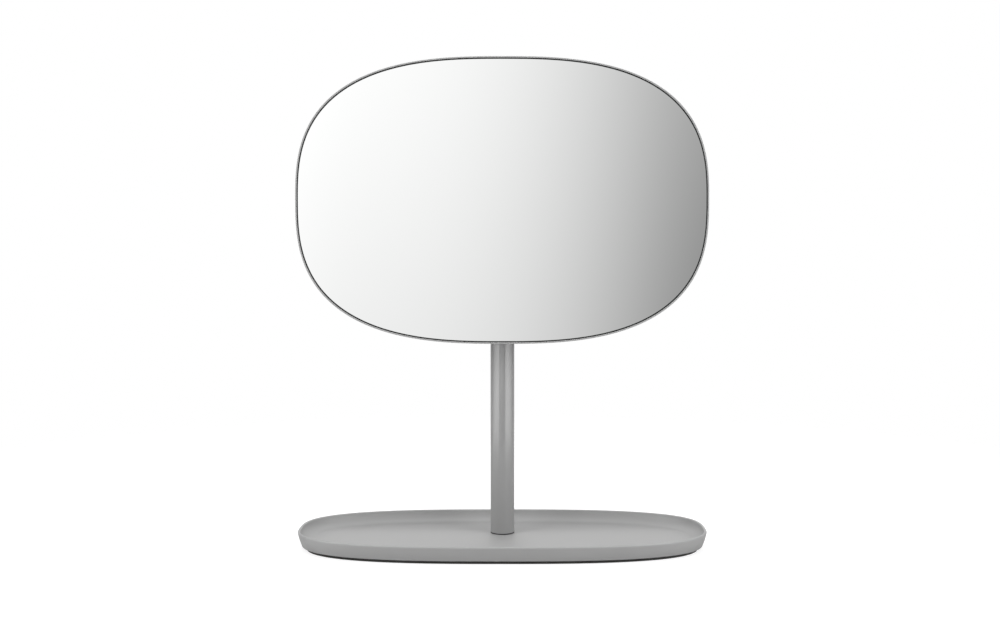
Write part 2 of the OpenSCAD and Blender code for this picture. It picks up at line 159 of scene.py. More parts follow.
class TableMirrorFinish(bpy.types.PropertyGroup):
    """Colours and gloss of the finishes."""

    paint: tint("Paint", "Colour of the grey paint", (0.42, 0.42, 0.419))
    paint_rough: share("Paint roughness", "Roughness of the paint", 0.45)
    paint_metal: share("Paint metal", "How far the paint's flakes shine as metal", 0.3)
    tube_rough: share("Tube roughness", "Roughness of the paint on the stem", 0.33)
    silver: tint("Silver", "Colour of the mirror's silver", (0.93, 0.935, 0.93))
    # Painted shade: the ground edge is near black so that it reads as the shaded gap between glass and rim
    ground: tint("Ground glass", "Colour of the ground edge", (0.05, 0.056, 0.054))
    steel: tint("Steel", "Colour of plain steel", (0.62, 0.62, 0.63))
    oxide: tint("Black oxide", "Colour of dark steel", (0.1, 0.1, 0.105))
    # Near black: the pad's own rubber colour, and also painted shade for the dark line under the tray's foot
    rubber: tint("Rubber", "Colour of the pad under the tray", (0.07, 0.069, 0.066))
    # Black plastic, and at the stem's foot also painted shade: the bushing's flange gives the dark line where
    # stem and tray meet
    plastic: tint("Black plastic", "Colour of the bushing and the friction washers", (0.03, 0.03, 0.031))
    foam: tint("Foam tape", "Colour of the foam tape", (0.1, 0.1, 0.1))
    film: tint("Film", "Colour of the film behind the glass", (0.32, 0.33, 0.34))


class TableMirrorStage(bpy.types.PropertyGroup):
    """Camera, lamps, floor and surroundings."""

    camera_back: length("Camera distance", "Distance of the camera in front of the stem", 0.85)
    camera_x: length("Camera across", "How far the camera stands to the right of the stem", 4.5 * MM)
    camera_z: length("Camera height", "Height of the camera above the table", 0.2057)
    pitch: share("Pitch", "How far the camera looks down, in degrees", 1.854, 90)
    focal: share("Focal length", "Focal length in pixels of the picture", 1190, 9000)
    axis_x: share("Axis across", "Pixel column that the camera's axis meets", 508.7, 1000)
    axis_y: share("Axis down", "Pixel row that the camera's axis meets", 291.0, 625)
    ambient: share("Ambient", "Brightness of the surroundings, as matt surfaces see them", 0.4, 4)
    overhead: share("Overhead", "Brightness of the wide lamp overhead", 0.4, 50)
    key: share("Key", "Brightness of the narrow lamp overhead", 12.3, 200)
    side: share("Side", "Brightness of the two lamps at the sides", 4.2, 50)
    behind: share("Behind", "Brightness of the lamp behind the object", 2.2, 50)
    floor_colour: tint("Floor", "Colour of the floor", (0.7, 0.7, 0.7))
    floor_radius: length("Floor radius", "Radius of the floor", 0.7)
    floor_fade: length("Floor fade", "Radius at which the floor begins to fade out", 0.32)
    floor_tone: share("Floor tone", "Brightness of the white in the floor, in reflections", 0.1, 4)
    floor_white: share("Floor white", "Brightness of the white in the floor that no shadow dims", 1.2, 4)
    shadow: share("Shadow", "Share of the object's shadow that the white floor keeps", 0.35)
    front_light: share("Front light", "Tone of the left side in front, in reflections", 1.0, 4)
    front_dark: share("Front dark", "How much darker the right side in front is", 1.05, 4)
    front_turn: share("Front turn", "Angle to the right where half of that is reached, in radians", 0.113, 4)
    front_soft: share("Front soft", "Width of the change from light to dark, in radians", 0.14, 4)
    front_rise: share("Front rise", "How much lighter it grows with height", 0.7, 4)
    side_tone: share("Side tone", "Tone of a band on either side, in reflections", 1.4, 9)
    side_low: share("Side low", "Share of that tone that is left below the horizon", 1.2, 9)
    side_high: share("Side high", "Share of that tone that is left high up", 0.2, 9)
    side_turn: share("Side turn", "Angle from the front to the middle of each band, in radians", 1.06, 4)
    back_tone: share("Back tone", "Tone of the back, in reflections", 0.55, 4)
    top_tone: share("Top tone", "Tone overhead, in reflections", 0.45, 4)


class Signal:
    """A socket of a shader node. Arithmetic with it adds Math nodes, which the board makes."""

    def __init__(self, board, socket):
        self.board = board
        self.socket = socket

    def math(self, operation, *others, flip=False):
        values = (*others, self) if flip else (self, *others)
        return self.board.node("Math", {"operation": operation}, dict(enumerate(values)))

    def __add__(self, other):
        return self.math("ADD", other)

    def __radd__(self, other):
        return self.math("ADD", other, flip=True)

    def __sub__(self, other):
        return self.math("SUBTRACT", other)

    def __rsub__(self, other):
        return self.math("SUBTRACT", other, flip=True)

    def __mul__(self, other):
        return self.math("MULTIPLY", other)

    def __rmul__(self, other):
        return self.math("MULTIPLY", other, flip=True)

    def __truediv__(self, other):
        return self.math("DIVIDE", other)


class Board:
    """The node tree of one material or of the world."""

    def __init__(self, tree):
        tree.nodes.clear()
        self.tree = tree

    def node(self, kind, settings=None, inputs=None, output=0):
        """Adds a node: first its settings, then each socket's value or link. Gives one of its outputs."""
        node = self.tree.nodes.new("ShaderNode" + kind)
        for name, value in (settings or {}).items():
            setattr(node, name, value)
        for name, value in (inputs or {}).items():
            if isinstance(value, Signal):
                self.tree.links.new(value.socket, node.inputs[name])
            else:
                node.inputs[name].default_value = value
        return Signal(self, node.outputs[output])

    def place(self):
        """Object coordinates, in metres."""
        return self.node("TexCoord", output="Object")

    def noise(self, grain, detail=2.0, vector=None):
        """Noise from 0 to 1, whose lumps are about one grain wide, in metres."""
        inputs = {"Vector": vector or self.place(), "Scale": 1 / grain, "Detail": detail}
        return self.node("TexNoise", None, inputs, "Fac")

    def spread(self, value, low, high, out_low=0.0, out_high=1.0):
        """Value moved smoothly from one range to another, and held at its ends."""
        inputs = {"Value": value, "From Min": low, "From Max": high, "To Min": out_low, "To Max": out_high}
        return self.node("MapRange", {"interpolation_type": "SMOOTHSTEP"}, inputs)

    def blend(self, factor, first, second):
        """Colour between two colours."""
        inputs = {0: factor, 6: first, 7: second}
        return self.node("Mix", {"data_type": "RGBA"}, inputs, 2)

    def bump(self, height, depth):
        """Normal of a surface with dents and bumps as deep as depth, in metres."""
        return self.node("Bump", None, {"Height": height, "Distance": depth, "Strength": 1.0})

    def mix(self, factor, first, second):
        """Shader between two shaders."""
        return self.node("MixShader", None, {0: factor, 1: first, 2: second})

    def finish(self, shader, kind="OutputMaterial"):
        """Links a shader to the tree's output."""
        output = self.tree.nodes.new("ShaderNode" + kind)
        self.tree.links.new(shader.socket, output.inputs["Surface"])


def shade(colour, factor=1.0):
    """A colour as four numbers, lighter or darker by a factor."""
    return (*(min(1.0, c * factor) for c in colour), 1.0)


def finishes():
    """The colours and the gloss that the panel shows."""
    return bpy.context.scene.table_mirror_finish


def material(name, paint_it):
    """The material of that name, made once by paint_it, which returns the sockets of a Principled shader. Its
    name differs from every slot's name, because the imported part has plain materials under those."""
    if name in SLOTS:
        raise ValueError(f"{name} is a slot of the packed part")
    found = bpy.data.materials.get(name)
    if found:
        return found
    made = bpy.data.materials.new(name)
    made.use_nodes = True
    board = Board(made.node_tree)
    board.finish(board.node("BsdfPrincipled", None, paint_it(board)))
    return made


def grey_paint(name="satin_grey_paint", rough=None):
    """Fine powder coat with a silky sheen: a fine grain, a soft orange peel and a slow cloudiness."""
    finish = finishes()

    def sockets(board):
        grain = board.noise(PAINT_GRAIN, 3)
        peel = board.noise(PAINT_PEEL, 1)
        cloud = board.noise(PAINT_CLOUD, 2)
        return {
            "Base Color": board.blend(
                cloud * 0.6 + grain * 0.4, shade(finish.paint, 0.975), shade(finish.paint, 1.025)
            ),
            "Metallic": finish.paint_metal,
            "Roughness": (rough or finish.paint_rough) + (grain - 0.5) * 0.1 + (cloud - 0.5) * 0.05,
            "Normal": board.bump(grain * 0.35 + peel * 0.65, PAINT_RELIEF),
        }

    return material(name, sockets)


def tube_paint():
    """The same paint on the stem, which is drawn tube and so smoother than a casting or a pressing."""
    return grey_paint("smooth_grey_paint", finishes().tube_rough)


def mirror_silver():
    """Silvered glass, clean, with a trace of dulling from wiping."""
    finish = finishes()

    def sockets(board):
        wiped = board.noise(GLASS_WIPE, 3)
        return {
            "Base Color": shade(finish.silver),
            "Metallic": 1.0,
            "Roughness": board.spread(wiped, 0.5, 0.8, 0.0, 0.012),
        }

    return material("mirror_silver", sockets)


def ground_glass():
    """The ground edge of the glass, with the fine scratches of the wheel, coloured near black as painted
    shade of the gap round the glass.
    """
    finish = finishes()

    def sockets(board):
        scratches = board.noise(GLASS_SCRATCH, 2)
        return {
            "Base Color": board.blend(scratches, shade(finish.ground, 0.8), shade(finish.ground, 1.2)),
            "Roughness": 0.34 + scratches * 0.12,
            "Normal": board.bump(scratches, GLASS_RELIEF),
        }

    return material("ground_glass", sockets)


def bare_steel(name, colour, rough, turned_piece=False):
    """Bare steel with a slight unevenness. A turned piece has rings from the lathe round its own axis, and
    any other has a fine grain."""

    def sockets(board):
        patches = board.noise(STEEL_PATCH, 3)
        if turned_piece:
            ring = board.node("Attribute", {"attribute_name": "turning"}, None, "Fac")
            track = board.noise(STEEL_TRACK, 1, board.node("CombineXYZ", None, {"X": ring}))
        else:
            track = board.noise(STEEL_GRAIN, 2)
        return {
            "Base Color": board.blend(patches * 0.5 + track * 0.5, shade(colour, 0.86), shade(colour, 1.08)),
            "Metallic": 1.0,
            "Roughness": rough + (patches - 0.5) * 0.16 + (track - 0.5) * 0.1,
            "Normal": board.bump(track, STEEL_RELIEF),
        }

    return material(name, sockets)


def turned_steel():
    return bare_steel("turned_steel", finishes().steel, rough=0.32, turned_piece=True)


def sheet_steel():
    return bare_steel("sheet_steel", finishes().steel, rough=0.42)


def dark_steel():
    return bare_steel("blackened_steel", finishes().oxide, rough=0.42)


def soft_matt(name, colour, rough, grain, depth, contrast):
    """A matt stuff, such as rubber, plastic or foam: lumps of one grain and a fainter cloud over them."""

    def sockets(board):
        lumps = board.noise(grain, 3)
        cloud = board.noise(grain * 12, 2)
        mixed = lumps * 0.7 + cloud * 0.3
        return {
            "Base Color": board.blend(mixed, shade(colour, 1 - contrast), shade(colour, 1 + contrast)),
            "Roughness": rough + (mixed - 0.5) * 0.12,
            "Normal": board.bump(lumps, depth),
        }

    return material(name, sockets)


# The pad's near-black rubber doubles as painted shade: it gives the dark line under the tray's foot, where
# shade falls
def pad_rubber():
    colour = finishes().rubber
    return soft_matt("rubber_sheet", colour, rough=0.85, grain=0.5 * MM, depth=0.04 * MM, contrast=0.3)


def black_plastic():
    colour = finishes().plastic
    return soft_matt("moulded_plastic", colour, rough=0.42, grain=0.25 * MM, depth=0.006 * MM, contrast=0.12)


def foam_tape():
    colour = finishes().foam
    return soft_matt("foam_strip", colour, rough=0.9, grain=0.35 * MM, depth=0.05 * MM, contrast=0.35)


def backing_film():
    colour = finishes().film
    return soft_matt("backing_film", colour, rough=0.5, grain=3 * MM, depth=0.01 * MM, contrast=0.08)


# A ring without flats or without a round takes this as its reach
ENDLESS = 1.0
# Neighbouring faces that turn by more than this meet in a sharp edge
SHARP = math.radians(32)
# Neighbouring faces that turn by less than this are one face
FLAT = math.radians(0.5)
# A hexagon's reach at its flats over its reach at its corners
HEX_COS = math.cos(math.radians(30))
# Points round a turned piece
TURNED_AROUND = 96


def superellipse(half_x, half_y, power, around):
    """Outline |x / half_x| ^ power + |y / half_y| ^ power = 1, as points at even angles round its middle.
    The reach at an angle is (|cos / half_x| ^ power + |sin / half_y| ^ power) ^ (-1 / power)."""
    angle = 2 * math.pi * np.arange(around) / around
    cos, sin = np.cos(angle), np.sin(angle)
    reach = (abs(cos / half_x) ** power + abs(sin / half_y) ** power) ** (-1 / power)
    return np.stack([reach * cos, reach * sin], -1)


def arc(inset, height, radius, start, end, steps):
    """Quarter or half circle of a section: inset + radius cos t, height + radius sin t, with t from start to
    end in degrees."""
    t = np.radians(np.linspace(start, end, steps))
    return np.stack([inset + radius * np.cos(t), height + radius * np.sin(t)], -1)


def loft(half_x, half_y, power, section, around):
    """Rings of points, one for each row of a section. A row holds the ring's inset and height, and the ring
    is the superellipse with both half widths less the inset."""
    rings = []
    for inset, height in section:
        outline = superellipse(half_x - inset, half_y - inset, power, around)
        rings.append(np.column_stack([outline, np.full(around, height)]))
    return np.array(rings)


def to_circle(ring, middle, radius, height, steps):
    """Rings from a ring to a circle in the same plane: (1 - s) ring + s circle, with s above 0 to 1."""
    around = len(ring)
    angle = 2 * math.pi * np.arange(around) / around
    circle = np.column_stack(
        [middle[0] + radius * np.cos(angle), middle[1] + radius * np.sin(angle), np.full(around, height)]
    )
    s = (np.arange(steps) + 1)[:, None, None] / steps
    return (1 - s) * ring + s * circle


def turned(profile, around):
    """Rings of points round +Z. A row of the profile holds a round reach, a flat reach and a height, and the
    ring's reach at an angle is the smaller of the round one and the flat one over the cosine of the angle to
    the middle of the nearest of six flats."""
    rows = np.array(profile, float)
    angle = 2 * math.pi * np.arange(around) / around
    to_flat = np.mod(angle, math.pi / 3) - math.pi / 6
    reach = np.minimum(rows[:, :1], rows[:, 1:2] / np.cos(to_flat))
    heights = np.broadcast_to(rows[:, 2:], reach.shape)
    return np.stack([reach * np.cos(angle), reach * np.sin(angle), heights], -1)


def quads(rings, around, start=0, closed=False):
    """Faces between neighbouring rings of points, and from the last to the first on a closed surface."""
    ring = np.arange(rings if closed else rings - 1)[:, None]
    step = np.arange(around)
    after = (step + 1) % around
    upper = (ring + 1) % rings
    corners = [ring * around + step, ring * around + after, upper * around + after, upper * around + step]
    return start + np.stack(corners, -1).reshape(-1, 4)


def add_mesh(name, points, faces, turning=None, slots=()):
    """Mesh of points and faces, welded, with its faces pointing outwards and its sharp edges kept sharp."""
    mesh = bpy.data.meshes.new(name)
    mesh.from_pydata(points, [], faces)
    if turning is not None:
        mesh.attributes.new("turning", "FLOAT", "POINT").data.foreach_set("value", turning)
    if len(slots):
        mesh.polygons.foreach_set("material_index", slots)
    work = bmesh.new()
    work.from_mesh(mesh)
    bmesh.ops.remove_doubles(work, verts=work.verts, dist=WELD)
    bmesh.ops.recalc_face_normals(work, faces=work.faces)
    work.to_mesh(mesh)
    work.free()
    mesh.shade_smooth()
    mesh.set_sharp_from_angle(angle=SHARP)
    return mesh


def add_piece(name, mesh, body, slot, node, *materials):
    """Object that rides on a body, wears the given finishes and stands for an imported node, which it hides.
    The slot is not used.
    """
    for finish in materials:
        mesh.materials.append(finish)
    piece = bpy.data.objects.new(name, mesh)
    bpy.context.scene.collection.objects.link(piece)
    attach(piece, body)
    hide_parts(node)
    return piece


def softened(name, node, radius, body, slot, finish, segments=2):
    """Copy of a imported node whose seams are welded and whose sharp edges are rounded."""
    mesh = frame["nodes"][node].data.copy()
    mesh.materials.clear()
    work = bmesh.new()
    work.from_mesh(mesh)
    bmesh.ops.remove_doubles(work, verts=work.verts, dist=WELD)
    bmesh.ops.dissolve_limit(work, angle_limit=FLAT, verts=work.verts, edges=work.edges)
    work.to_mesh(mesh)
    work.free()
    piece = add_piece(name, mesh, body, slot, node, finish)
    rounding = piece.modifiers.new("rounding", "BEVEL")
    rounding.width = radius
    rounding.segments = segments
    rounding.limit_method = "ANGLE"
    rounding.angle_limit = SHARP
    rounding.harden_normals = True
    return piece


def wear(node, finish):
    """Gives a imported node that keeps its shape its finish."""
    mesh = frame["nodes"][node].data
    mesh.materials.clear()
    mesh.materials.append(finish)


class TABLE_MIRROR_OT_tray(bpy.types.Operator):
    """Make the painted tray"""

    bl_idname = "table_mirror.tray"
    bl_label = "Tray"
    # Points round the tray, and steps over its section
    around, floor_steps = 360, 8
    ring_steps, foot_steps, wall_steps, lip_steps, cove_steps = 5, 8, 18, 24, 22

    def section(self, tray):
        """Section as inset and height: up the wall, whose inset is draft (straight u + (1 - straight) u u)
        with u falling from 1 at the foot to 0 at the lip, round the lip, and down the cove, a quarter of an
        ellipse."""
        lip_z = TRAY_HIGH.z - tray.lip / 2
        foot_z = TRAY_LOW.z + tray.foot_radius
        floor_z = BUSHING_LOW.z + tray.floor
        u = np.linspace(1, 0, self.wall_steps)[1:]
        wall = np.stack(
            [
                tray.draft * (tray.straight * u + (1 - tray.straight) * u * u),
                lip_z + (foot_z - lip_z) * u,
            ],
            -1,
        )
        t = np.linspace(0, math.pi / 2, self.cove_steps)[1:]
        cove = np.stack(
            [tray.lip + tray.cove * (1 - np.cos(t)), lip_z - (lip_z - floor_z) * np.sin(t)], -1
        )
        return np.vstack(
            [
                arc(tray.draft + tray.foot_radius, foot_z, tray.foot_radius, 270, 180, self.foot_steps),
                wall,
                arc(tray.lip / 2, lip_z, tray.lip / 2, 180, 0, self.lip_steps)[1:],
                cove,
            ]
        )

    def under(self, tray):
        """Section of the underside from the floor's underside out to the foot of the wall."""
        inner = tray.draft + tray.ring
        small = tray.ring_radius
        edge = arc(inner - small, TRAY_LOW.z + small, small, 0, -90, self.ring_steps)
        return np.vstack([[[inner, BUSHING_LOW.z]], edge])

    def execute(self, context):
        tray = context.scene.table_mirror_tray
        half_x, half_y = TRAY_HIGH.x, TRAY_HIGH.y
        middle = (STEM_MIDDLE.x, STEM_MIDDLE.y)
        section = np.vstack([self.under(tray), self.section(tray)])
        outside = loft(half_x, half_y, tray.squareness, section, self.around)
        top = to_circle(outside[-1], middle, tray.bore, section[-1, 1], self.floor_steps)
        bottom = to_circle(outside[0], middle, tray.bore, section[0, 1], self.floor_steps)
        rings = np.concatenate([bottom[::-1], outside, top])
        faces = quads(len(rings), self.around, closed=True)
        mesh = add_mesh("tray_casting", rings.reshape(-1, 3), faces)
        add_piece("tray_casting", mesh, "foot", "grey_paint", "tray", grey_paint())
        return {"FINISHED"}


class TABLE_MIRROR_OT_foot(bpy.types.Operator):
    """Finish what lies under the tray and the swivel's parts"""

    bl_idname = "table_mirror.foot"
    bl_label = "Foot"

    def execute(self, context):
        softened("pad_sheet", "base_pad", CUT_EDGE, "foot", "pad_rubber", pad_rubber())
        softened("ballast_sheet", "ballast_plate", CUT_EDGE, "foot", "plain_steel", sheet_steel())
        # Its black flange at the stem's foot doubles as painted shade of the line where stem and tray meet
        softened("swivel_bushing", "foot_bushing", MOULDED_EDGE, "foot", "black_plastic", black_plastic())
        wear("ballast_tape", foam_tape())
        wear("thrust_washer", sheet_steel())
        wear("foot_spring", dark_steel())
        return {"FINISHED"}


class TABLE_MIRROR_OT_stem(bpy.types.Operator):
    """Finish the stem with what is in its ends"""

    bl_idname = "table_mirror.stem"
    bl_label = "Stem"

    def execute(self, context):
        softened("stem_pipe", "stem_tube", TURNED_EDGE, "stem", "grey_paint", tube_paint())
        softened("swivel_bolt", "stem_bolt", TURNED_EDGE, "stem", "dark_steel", dark_steel())
        softened("hinge_tongue", "stem_head", MACHINED_EDGE, "stem", "plain_steel", sheet_steel())
        wear("foot_plug", sheet_steel())
        wear("head_pin", dark_steel())
        return {"FINISHED"}


def to_front(points, back_y):
    """Points of a piece of the head, which lies on its back with height towards +Z, stood up to face -Y."""
    x, y, z = np.moveaxis(points.reshape(-1, 3), -1, 0)
    return np.stack([x, back_y - z, HEAD_MIDDLE.z + y], -1)


class TABLE_MIRROR_OT_glass(bpy.types.Operator):
    """Make the mirror glass with its ground edge"""

    bl_idname = "table_mirror.glass"
    bl_label = "Glass"
    # Points round the glass, and steps from its edge to its middle
    around, face_steps = 480, 4

    def execute(self, context):
        head = context.scene.table_mirror_head
        half_x, half_y = GLASS_HIGH.x, (GLASS_HIGH.z - GLASS_LOW.z) / 2
        thick = GLASS_HIGH.y - GLASS_LOW.y
        section = [(0, 0), (0, thick - head.bevel), (head.bevel, thick)]
        sides = loft(half_x, half_y, head.squareness, section, self.around)
        front = to_circle(sides[-1], (0, 0), 0, thick, self.face_steps)
        back = to_circle(sides[0], (0, 0), 0, 0, self.face_steps)
        rings = np.concatenate([back[::-1], sides, front])
        faces = quads(len(rings), self.around)
        # The faces come in this order: the back, the ground sides and the silvered front
        backing = len(back) * self.around
        ground = backing + (len(sides) - 1) * self.around
        slots = np.zeros(len(faces), int)
        slots[:backing] = 2
        slots[backing:ground] = 1
        mesh = add_mesh("glass_plate", to_front(rings, GLASS_HIGH.y), faces, slots=slots)
        add_piece(
            "glass_plate", mesh, "mirror_head", "mirror", "mirror_glass",
            mirror_silver(), ground_glass(), backing_film(),
        )
        wear("safety_film", backing_film())
        wear("mounting_tape", foam_tape())
        return {"FINISHED"}


class TABLE_MIRROR_OT_shell(bpy.types.Operator):
    """Make the pressed shell whose edge is the rim"""

    bl_idname = "table_mirror.shell"
    bl_label = "Shell"
    # Points round a quarter of the shell, steps over its section, and rings round each screw's hole
    quarter, back_steps, rim_steps, patch_rings, hole_rings = 120, 12, 5, 7, 3

    def section(self, head):
        """Section as inset and depth: round the back edge, up the side, over the rim's two small radii, down
        inside and round to the inner floor."""
        depth = SHELL_HIGH.y - SHELL_LOW.y
        outer, inner = head.back_radius, head.back_radius - head.sheet
        small = head.rim_radius
        return np.vstack(
            [
                arc(outer, outer, outer, 270, 180, self.back_steps),
                arc(small, depth - small, small, 180, 90, self.rim_steps),
                arc(head.sheet - small, depth - small, small, 90, 0, self.rim_steps),
                arc(outer, outer, inner, 180, 270, self.back_steps),
            ]
        )

    def holed(self, ring, head, height):
        """Four patches that fill a ring, each with one round hole. A patch goes from a border, made of a
        quarter of the ring and two straight lines to the middle, to its hole's circle: (1 - s) border + s
        circle."""
        quarter = ring[: self.quarter + 1]
        lines = self.quarter // 2
        t = np.linspace(0, 1, lines, endpoint=False)[1:, None]
        down, back = quarter[-1] * (1 - t), quarter[0] * t
        border = np.vstack([quarter, down, [[0, 0, height]], back])
        border[:, 2] = height
        hole = np.array([head.screw_span_x / 2, head.screw_span_z / 2, height])
        away = border - hole
        angle = np.arctan2(away[:, 1], away[:, 0])
        way = np.stack([np.cos(angle), np.sin(angle), np.zeros(len(angle))], -1)
        circle = hole + head.screw_hole * way
        s = np.linspace(0, 1, self.patch_rings)[:, None, None]
        patch = (1 - s) * border + s * circle
        return [patch * (flip_x, flip_y, 1) for flip_x in (1, -1) for flip_y in (1, -1)]

    def execute(self, context):
        head = context.scene.table_mirror_head
        half_x, half_y = SHELL_HIGH.x, (SHELL_HIGH.z - SHELL_LOW.z) / 2
        around = 4 * self.quarter
        rings = loft(half_x, half_y, head.squareness, self.section(head), around)
        outer = self.holed(rings[0], head, 0.0)
        inner = self.holed(rings[-1], head, head.sheet)
        grids = [rings]
        for outside, inside in zip(outer, inner):
            wall = np.linspace(outside[-1], inside[-1], self.hole_rings)
            grids.extend([outside, wall, inside])
        points, faces = [], []
        for grid in grids:
            faces.append(quads(grid.shape[0], grid.shape[1], start=sum(len(p) for p in points)))
            points.append(grid.reshape(-1, 3))
        mesh = add_mesh("shell_pan", to_front(np.vstack(points), SHELL_HIGH.y), np.vstack(faces))
        add_piece("shell_pan", mesh, "mirror_head", "grey_paint", "back_shell", grey_paint())
        wear("stiffener_plate", sheet_steel())
        wear("clinch_nuts", sheet_steel())
        return {"FINISHED"}


def domed_screw(head, head_t, key, key_t, shank, reach):
    """Profile of a screw with a domed head: from its tip up the shank, over the head's side and dome, which
    is a quarter of an ellipse, and down a hexagon socket to the cone at its foot."""
    flat = key / 2
    # The dome goes from this height on the head's side to this flat ring round the socket
    side_t = 0.15 * head_t
    ring = flat / HEX_COS + 0.12 * head
    # Chamfers of the shank's tip, of the head's underside and of the socket's mouth, across and down
    tip, under = 0.2 * shank, 0.03 * head
    mouth, mouth_t = 0.04 * key, 0.06 * key
    # Radius and depth of the cone
    cone, cone_t = 0.86 * flat, 0.25 * flat
    t = np.linspace(0, math.pi / 2, 12)
    wide, high = head - ring, head_t - side_t
    dome = [(ring + wide * math.cos(a), ENDLESS, side_t + high * math.sin(a)) for a in t]
    return [
        (0, ENDLESS, -reach),
        (shank - tip, ENDLESS, -reach),
        (shank, ENDLESS, tip - reach),
        (shank, ENDLESS, 0),
        (head - under, ENDLESS, 0),
        (head, ENDLESS, under),
        *dome,
        (ENDLESS, flat + mouth, head_t),
        (ENDLESS, flat, head_t - mouth_t),
        (ENDLESS, flat, head_t - key_t),
        (cone, ENDLESS, head_t - key_t),
        (0, ENDLESS, head_t - key_t - cone_t),
    ]


def lock_nut(flat, hex_t, height, bore, edge):
    """Profile of a locking nut: a hexagon with chamfered corners, a collar rolled over a ring, and the bore.
    The chamfer rises from the face's radius to the corner's, with s from 0 to 1, at half that width."""
    corner = flat / HEX_COS
    face = 0.95 * flat
    s = np.linspace(0, 1, 7)
    slope = 0.5 * (corner - face)
    lower = [(face + (corner - face) * k, flat, slope * k) for k in s]
    upper = [(corner + (face - corner) * k, flat, hex_t - slope * (1 - k)) for k in s]
    collar = 0.97 * flat
    t = np.linspace(0, math.pi / 2, 8)
    roll = 0.9 * edge + 0.4 * MM
    lead = 0.35 * MM
    rolled = [(collar - roll + roll * math.cos(a), ENDLESS, height - roll + roll * math.sin(a)) for a in t]
    return [
        (bore + edge, ENDLESS, 0),
        *lower,
        *upper,
        (collar, ENDLESS, hex_t),
        *rolled,
        (bore + lead, ENDLESS, height),
        (bore, ENDLESS, height - lead),
        (bore, ENDLESS, edge),
        (bore + edge, ENDLESS, 0),
    ]


def place_turned(rings, origin, axis):
    """Points of a turned piece, whose own Z becomes the axis and whose own X becomes level or points down."""
    along = Vector(axis)
    across = Vector((0, 0, -1)) if abs(along.z) < 0.5 else Vector((1, 0, 0))
    turn = np.array([across, along.cross(across), along])
    return rings.reshape(-1, 3) @ turn + np.array(origin)


def turned_mesh(name, profile, origins, axis):
    """Mesh of one turned shape at several origins, with the reach from its own axis as an attribute."""
    rings = turned(profile, TURNED_AROUND)
    reach = np.hypot(rings[..., 0], rings[..., 1]).ravel()
    points = [place_turned(rings, origin, axis) for origin in origins]
    faces = [quads(len(rings), TURNED_AROUND, start=k * len(reach)) for k in range(len(origins))]
    return add_mesh(name, np.vstack(points), np.vstack(faces), turning=np.tile(reach, len(origins)))


class TABLE_MIRROR_OT_hinge(bpy.types.Operator):
    """Make the hinge's screws, bolt and nut and finish its bracket"""

    bl_idname = "table_mirror.hinge"
    bl_label = "Hinge"

    def execute(self, context):
        head = context.scene.table_mirror_head
        size = context.scene.table_mirror_fasteners
        steel = turned_steel()
        body = "mirror_head"
        softened("hinge_clevis", "hinge_bracket", BENT_EDGE, body, "bracket_paint", grey_paint(), 3)
        softened("washer_pair", "friction_washers", MOULDED_EDGE, body, "black_plastic", black_plastic())
        wear("pivot_spring", dark_steel())
        seat_y = SCREWS_HIGH.y - size.screw_head_t
        seats = [
            (x * head.screw_span_x / 2, seat_y, HEAD_MIDDLE.z + z * head.screw_span_z / 2)
            for x in (-1, 1)
            for z in (-1, 1)
        ]
        screw = domed_screw(
            size.screw_head, size.screw_head_t, size.screw_key, size.screw_key_t,
            size.screw_shank, seat_y - SCREWS_LOW.y,
        )
        mesh = turned_mesh("plate_screws", screw, seats, (0, 1, 0))
        add_piece("plate_screws", mesh, body, "plain_steel", "bracket_screws", steel)
        seat_x = BOLT_LOW.x + size.bolt_head_t
        bolt = domed_screw(
            size.bolt_head, size.bolt_head_t, size.bolt_key, size.bolt_key_t,
            size.bolt_shank, BOLT_HIGH.x - seat_x,
        )
        mesh = turned_mesh("hinge_bolt", bolt, [(seat_x, PIVOT_MIDDLE.y, PIVOT_MIDDLE.z)], (-1, 0, 0))
        add_piece("hinge_bolt", mesh, body, "plain_steel", "pivot_bolt", steel)
        nut_t = NUT_HIGH.x - NUT_LOW.x
        nut = lock_nut(size.nut_key / 2, size.nut_hex_t, nut_t, size.bolt_shank, size.edge)
        mesh = turned_mesh("hinge_nut", nut, [(NUT_LOW.x, PIVOT_MIDDLE.y, PIVOT_MIDDLE.z)], (1, 0, 0))
        add_piece("hinge_nut", mesh, body, "plain_steel", "pivot_nut", steel)
        return {"FINISHED"}


PICTURE = (1000, 625)
SENSOR = 36.0
# What the lamps look at
AIM = Vector((0, 0, 0.17))
# Each lamp's name, place, width and height, and the property that holds its brightness
LAMPS = (
    ("overhead_lamp", (0, 0, 1.3), 1.6, 1.2, "overhead"),
    ("key_lamp", (0, -0.27, 1.25), 0.6, 0.14, "key"),
    ("left_lamp", (-0.95, -0.52, 0.7), 0.7, 0.8, "side"),
    ("right_lamp", (0.95, -0.52, 0.7), 0.7, 0.8, "side"),
    ("back_lamp", (0, 1.1, 0.7), 1.2, 0.6, "behind"),
)
# How far the floor lies below the object, and how many times nearer it fades out in reflections
FLOOR_GAP = 0.05 * MM
FLOOR_NEARER = 3
# Where the tones that shiny surfaces see begin or end. These are angles from the front, in radians, and for
# the side bands they are shares of the angle to the middle of a band
FRONT_ENDS, FRONT_DARK_ENDS = (0.3, 1.0), (0.2, 0.45)
BAND_BEGINS, BAND_ENDS = (0.1, 0.72), (1, 2.1)
BACK_BEGINS = (1.8, 2.6)
# These are heights of a direction, from -1 straight down to 1 straight up
FRONT_LOW, FRONT_HIGH = (-0.2, -0.08), (0.18, 0.45)
BAND_LOW, BAND_HIGH = (-0.2, -0.1), (0.15, 0.4)
TOP_BEGINS = (0.45, 0.8)
RISE_REACH, RISE_SHARE = 0.3, 0.2


